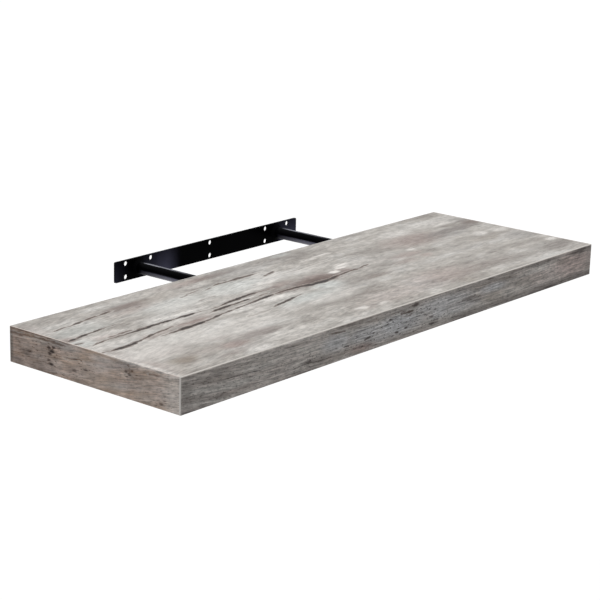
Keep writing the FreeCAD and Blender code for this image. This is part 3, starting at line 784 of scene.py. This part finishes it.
# How much painted highlight a rod's upper side gets, and how much painted reflection shows on its lower side.
def paintedLightOnRod(tree, texture, place):
    up = addNode(tree, "SeparateXYZ", {0: texture.outputs["Normal"]}).outputs["Z"]
    start, full = rodCoatAndPaintedLight["crown"]
    crown = addNode(tree, "MapRange", {"Value": up, "From Min": start, "From Max": full}, **eased)
    highlightStreaks = addNode(tree, "TexNoise", {
        "Vector": addNode(tree, "Mapping", {
            "Vector": texture.outputs["Object"], "Scale": rodCoatAndPaintedLight["highlightStreaks"]}), "Scale": 1, "Detail": 3})
    start, full = rodCoatAndPaintedLight["highlightStreakFade"]
    highlightStreaks = addNode(tree, "MapRange", {"Value": highlightStreaks, "From Min": start, "From Max": full})
    wearAndHighlight = addNode(tree, "Math", {0: crown, 1: highlightStreaks}, operation="MULTIPLY")
    outward = addNode(tree, "Math", {0: place["Y"], 1: -1 / (rodCoatAndPaintedLight["reach"] * mm)}, operation="MULTIPLY")
    highlightReach = addNode(tree, "FloatCurve", {"Value": outward})
    bendCurve(highlightReach, rodCoatAndPaintedLight["highlightAlongRod"])
    wearAndHighlight = addNode(tree, "Math", {0: wearAndHighlight, 1: highlightReach}, operation="MULTIPLY")
    start, full = rodCoatAndPaintedLight["under"]
    under = addNode(tree, "MapRange", {"Value": up, "From Min": start, "From Max": full}, **eased)
    near, far = rodCoatAndPaintedLight["clearOfPlate"]
    out = addNode(tree, "MapRange", {"Value": place["Y"], "From Min": -near * mm, "From Max": -far * mm})
    return wearAndHighlight, addNode(tree, "Math", {0: under, 1: out}, operation="MULTIPLY")


def powderCoat(name, plate=False):
    material, tree = newTree(name)
    texture = addNode(tree, "TexCoord", {})
    place = addNode(tree, "SeparateXYZ", {0: texture.outputs["Object"]}).outputs
    peel = addNode(tree, "TexNoise", {
        "Vector": texture.outputs["Object"], "Scale": 1 / (coat["peel"] * mm), "Detail": 3, "Roughness": 0.6})
    flow = addNode(tree, "TexNoise", {
        "Vector": texture.outputs["Object"], "Scale": 1 / (coat["cloud"] * mm), "Detail": 3})
    start, full = coat["thickFlow"]
    cover = addNode(tree, "MapRange", {"Value": flow, "From Min": start, "From Max": full})
    colour = addNode(tree, "Mix", {"Factor": cover, "A": coat["black"], "B": coat["thick"]}, data_type="RGBA")
    if plate:
        # Painted reflection: a bluish sheen beside each rod.
        paintedReflection = reflectionPaintedOnPlate(tree, place, flow)
        colour = addNode(tree, "Mix", {"Factor": paintedReflection, "A": colour, "B": platePaintedReflection["paintedReflection"]}, data_type="RGBA")
        clear = coat["clear"]
    else:
        # Painted highlight along the rod's top and painted reflection along its lower side.
        wearAndHighlight, paintedReflection = paintedLightOnRod(tree, texture, place)
        colour = addNode(tree, "Mix", {"Factor": wearAndHighlight, "A": colour, "B": rodCoatAndPaintedLight["paintedHighlight"]}, data_type="RGBA")
        colour = addNode(tree, "Mix", {"Factor": paintedReflection, "A": colour, "B": rodCoatAndPaintedLight["paintedReflection"]}, data_type="RGBA")
        clear = addNode(tree, "Math", {
            0: paintedReflection, 1: rodCoatAndPaintedLight["pooled"] - coat["clear"], 2: coat["clear"]}, operation="MULTIPLY_ADD")
    smooth, rough = coat["rough"]
    start, full = coat["roughFlow"]
    dull = addNode(tree, "MapRange", {
        "Value": flow, "From Min": start, "From Max": full, "To Min": smooth, "To Max": rough})
    skin = addNode(tree, "Bump", {"Strength": 1, "Distance": coat["peelDepth"] * mm, "Height": peel})
    surface = addNode(tree, "BsdfPrincipled", {
        "Base Color": colour, "Roughness": dull, "IOR": coat["ior"], "Specular IOR Level": coat["gloss"],
        "Sheen Weight": coat["plateSheen"] if plate else coat["sheen"],
        "Sheen Roughness": coat["sheenSpread"], "Sheen Tint": coat["sheenTint"],
        "Coat Weight": clear, "Coat Roughness": coat["clearRough"], "Normal": skin})
    addNode(tree, "OutputMaterial", {"Surface": surface})
    return material


powder = powderCoat("polyesterPowderCoat")
dress(powder, "left_rod", "right_rod", "left_weld", "right_weld")
dress(powderCoat("polyesterPowderCoatPlate", plate=True), "wall_plate")


# The weld round each rod's root is a hand-laid bead, with a ripple for each dab of the torch.
bead = {
    "pitch": 2.0,               # millimetres from ripple to ripple along the bead
    "throat": (0.42, 0.5),      # bead's middle at the lowest and highest, as shares of its leg
    "crest": 0.6,               # a power under 1 rounds the ripples' crests and sharpens their troughs
    "lag": 0.5,                 # share of the pitch by which a crescent trails at the bead's two toes
    "around": 8,                # mesh points for each ripple
    "across": 8,
    "sharp": 50,                # degrees, a steeper edge stays sharp
}


# The ring of mesh points on one ray from the rod's axis: across the bead, and then down the rod to its root.
def beadSection(turn, steps, leg, radius, middle, root):
    angle = math.tau * turn / steps
    lowest, highest = bead["throat"]
    section = []
    for row in range(bead["across"] + 1):
        share = row / bead["across"]
        lag = bead["lag"] * (2 * share - 1) ** 2
        phase = (turn / bead["around"] + lag) % 1
        crest = math.sin(math.pi * phase) ** bead["crest"]
        throat = lowest + (highest - lowest) * crest
        swell = leg * (2 * throat - 1) * math.sin(math.pi * share) / 2
        out = radius + (leg * (1 - share) + swell)
        forward = leg * share + swell
        section.append((middle + out * math.cos(angle), root - forward, out * math.sin(angle)))
    section.append((middle + radius * math.cos(angle), root, radius * math.sin(angle)))
    return section


def weldBead(name, rodName):
    low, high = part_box(name)
    rodLow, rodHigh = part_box(rodName)
    leg = high.y - low.y
    radius = (rodHigh.x - rodLow.x) / 2
    middle = (rodHigh.x + rodLow.x) / 2
    ripples = round(math.tau * (radius + leg / 2) / (bead["pitch"] * mm))
    steps = ripples * bead["around"]
    verts = []
    for turn in range(steps):
        verts += beadSection(turn, steps, leg, radius, middle, high.y)
    ring = bead["across"] + 2
    faces = []
    for turn in range(steps):
        here, there = turn * ring, (turn + 1) % steps * ring
        for row in range(ring):
            after = (row + 1) % ring
            faces.append((here + row, here + after, there + after, there + row))
    mesh = bpy.data.meshes.new(name + "_bead")
    mesh.from_pydata(verts, [], faces)
    mesh.update()
    mesh.shade_smooth()
    mesh.set_sharp_from_angle(angle=math.radians(bead["sharp"]))
    mesh.materials.append(powder)
    piece = bpy.data.objects.new(name + "_bead", mesh)
    bpy.context.scene.collection.objects.link(piece)
    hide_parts(name)
    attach(piece, "bracket")


weldBead("left_weld", "left_rod")
weldBead("right_weld", "right_rod")
print("bracket finish and welds done")


# Soft overhead light on a pale floor. Lamp and air together light an upward face to about its own colour.
studio = {
    "floorDrop": 500,           # floor below the shelf's middle, in millimetres
    "floorReach": 40000,
    "skyStrength": 2.2,         # irradiance of the overhead dome
    "skySpread": 110,           # degrees across, so that shadows stay soft
    "skyTilt": (-8, -5),        # degrees, leans a little to the back and the left
    "ambient": 0.2,
    "white": "#ffffff",
    "bounce": "#8c8c8c",        # floor as the object sees it
    "glow": 0.72,               # the part of the floor's white that a shadow can't darken
    "paint": "#a2a2a2",         # and the part that it can
}


# Camera, glossy and transmitted rays see the plain surface, and all others the one that lights the object.
def plainWhenSeen(tree, lighting, plain):
    rays = addNode(tree, "LightPath", {})
    seen = rays.outputs["Is Camera Ray"]
    for kind in ("Is Glossy Ray", "Is Transmission Ray"):
        seen = addNode(tree, "Math", {0: seen, 1: rays.outputs[kind]}, operation="MAXIMUM")
    return addNode(tree, "MixShader", {0: seen, 1: lighting, 2: plain})


def makeAir():
    world = bpy.data.worlds.new("studioAir")
    bpy.context.scene.world = world
    world.use_nodes = True
    tree = world.node_tree
    tree.nodes.clear()
    air = addNode(tree, "Background", {"Color": studio["white"], "Strength": studio["ambient"]})
    white = addNode(tree, "Background", {"Color": studio["white"], "Strength": 1})
    addNode(tree, "OutputWorld", {"Surface": plainWhenSeen(tree, air, white)})


def makeFloor():
    under = (0, 0, -studio["floorDrop"] * mm)
    bpy.ops.mesh.primitive_plane_add(size=studio["floorReach"] * mm, location=under)
    floor = bpy.context.object
    floor.name = "studioFloor"
    material, tree = newTree("paleFloorPaint")
    bounce = addNode(tree, "BsdfDiffuse", {"Color": studio["bounce"]})
    paint = addNode(tree, "BsdfDiffuse", {"Color": studio["paint"]})
    glow = addNode(tree, "Emission", {"Color": studio["white"], "Strength": studio["glow"]})
    pale = addNode(tree, "AddShader", {0: glow, 1: paint})
    addNode(tree, "OutputMaterial", {"Surface": plainWhenSeen(tree, bounce, pale)})
    floor.data.materials.append(material)


def makeSky():
    sky = bpy.data.lights.new("overheadDome", "SUN")
    sky.energy = studio["skyStrength"]
    sky.angle = math.radians(studio["skySpread"])
    lamp = bpy.data.objects.new("overheadDome", sky)
    lean, roll = studio["skyTilt"]
    lamp.rotation_euler = (math.radians(lean), math.radians(roll), 0)
    bpy.context.scene.collection.objects.link(lamp)


makeAir()
makeFloor()
makeSky()

camera = {
    "place": (-1.3628, -1.2505, 0.4711),    # metres
    "turn": (74.172, -1.447, -49.994),      # degrees
    "lens": 111.13,                         # millimetres
    "sensor": 36,
}


def makeCamera():
    data = bpy.data.cameras.new("viewCamera")
    data.lens = camera["lens"]
    data.sensor_width = camera["sensor"]
    view = bpy.data.objects.new("viewCamera", data)
    view.location = camera["place"]
    view.rotation_euler = [math.radians(a) for a in camera["turn"]]
    bpy.context.scene.collection.objects.link(view)
    bpy.context.scene.camera = view


makeCamera()
bpy.context.scene.view_settings.view_transform = "Standard"
print("studio and camera done")
